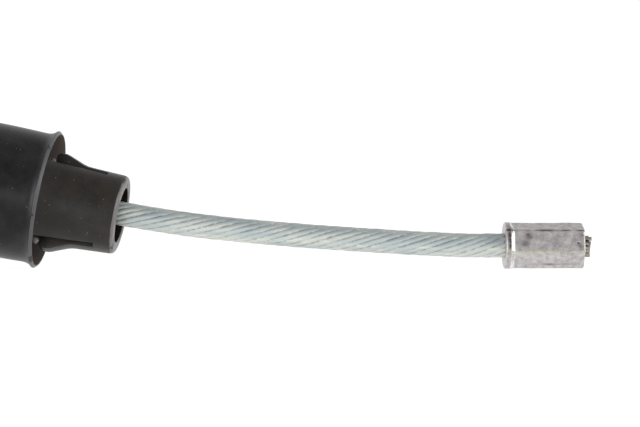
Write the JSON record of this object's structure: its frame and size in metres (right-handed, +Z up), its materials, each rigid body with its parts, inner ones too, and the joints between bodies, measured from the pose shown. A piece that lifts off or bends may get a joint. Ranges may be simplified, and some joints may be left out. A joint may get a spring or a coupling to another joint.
{
  "type": "control cable",
  "caption": "Pull cable: wire rope with a swaged ferrule, in a coiled conduit with a rubber-sleeved snap-in nose and a rear end cap.",
  "frame": {"origin": "centre of the nose's flange face, where the nose seats on a panel", "axes": "+X towards the exposed end of the rope, +Z up; the nose axis lies in the XZ plane and falls 11 degrees towards +X"},
  "size_m": [0.2874, 0.1048, 0.0222],
  "materials": {
    "sleeve_rubber": "satin moulded rubber",
    "nose_plastic": "matte moulded nylon",
    "plated_steel": "zinc plated",
    "liner_plastic": "natural extruded polymer",
    "jacket_plastic": "extruded, semi-matte",
    "seal_rubber": "moulded",
    "galvanised_wire": "galvanised strands",
    "ferrule_zinc": "swaged, satin",
    "tie_plastic": "smooth strap"
  },
  "bodies": {
    "conduit": {"rubber_sleeve": "sleeve_rubber", "snap_nose": "nose_plastic", "front_end_cap": "plated_steel", "conduit_liner": "liner_plastic", "conduit_armour": "plated_steel", "conduit_jacket": "jacket_plastic", "front_seal": "seal_rubber", "conduit_run": "jacket_plastic", "conduit_coil": "jacket_plastic", "conduit_tail": "jacket_plastic", "coil_ties": "tie_plastic", "rear_end_cap": "plated_steel", "rear_liner": "liner_plastic", "rear_wiper": "seal_rubber"},
    "upper_finger": {"snap_finger_upper": "nose_plastic"},
    "lower_finger": {"snap_finger_lower": "nose_plastic"},
    "rope": {"pull_wire": "galvanised_wire", "end_ferrule": "ferrule_zinc"},
    "rear_rope": {"rear_wire": "galvanised_wire", "rear_nipple": "ferrule_zinc"}
  },
  "joints": [
    {"name": "rope_slide", "type": "slide", "parent": "conduit", "child": "rope", "axis": [0.9816, 0, -0.1908], "range_m": [-0.018, 0]},
    {"name": "rear_rope_slide", "type": "slide", "parent": "conduit", "child": "rear_rope", "axis": [-1, 0, 0], "range_m": [0, 0.018]},
    {"name": "upper_finger_flex", "type": "hinge", "parent": "conduit", "child": "upper_finger", "pos_m": [0.00925, 0.00086, 0.002], "axis": [0.0429, -0.9744, 0.2208], "range_deg": [0, 9], "stiffness_Nm_per_rad": 0.02},
    {"name": "lower_finger_flex", "type": "hinge", "parent": "conduit", "child": "lower_finger", "pos_m": [0.00783, -0.00086, -0.00532], "axis": [-0.0429, 0.9744, -0.2208], "range_deg": [0, 9], "stiffness_Nm_per_rad": 0.02}
  ],
  "couplings": [
    {"joint": "rear_rope_slide", "follows": "rope_slide", "ratio": -1}
  ]
}
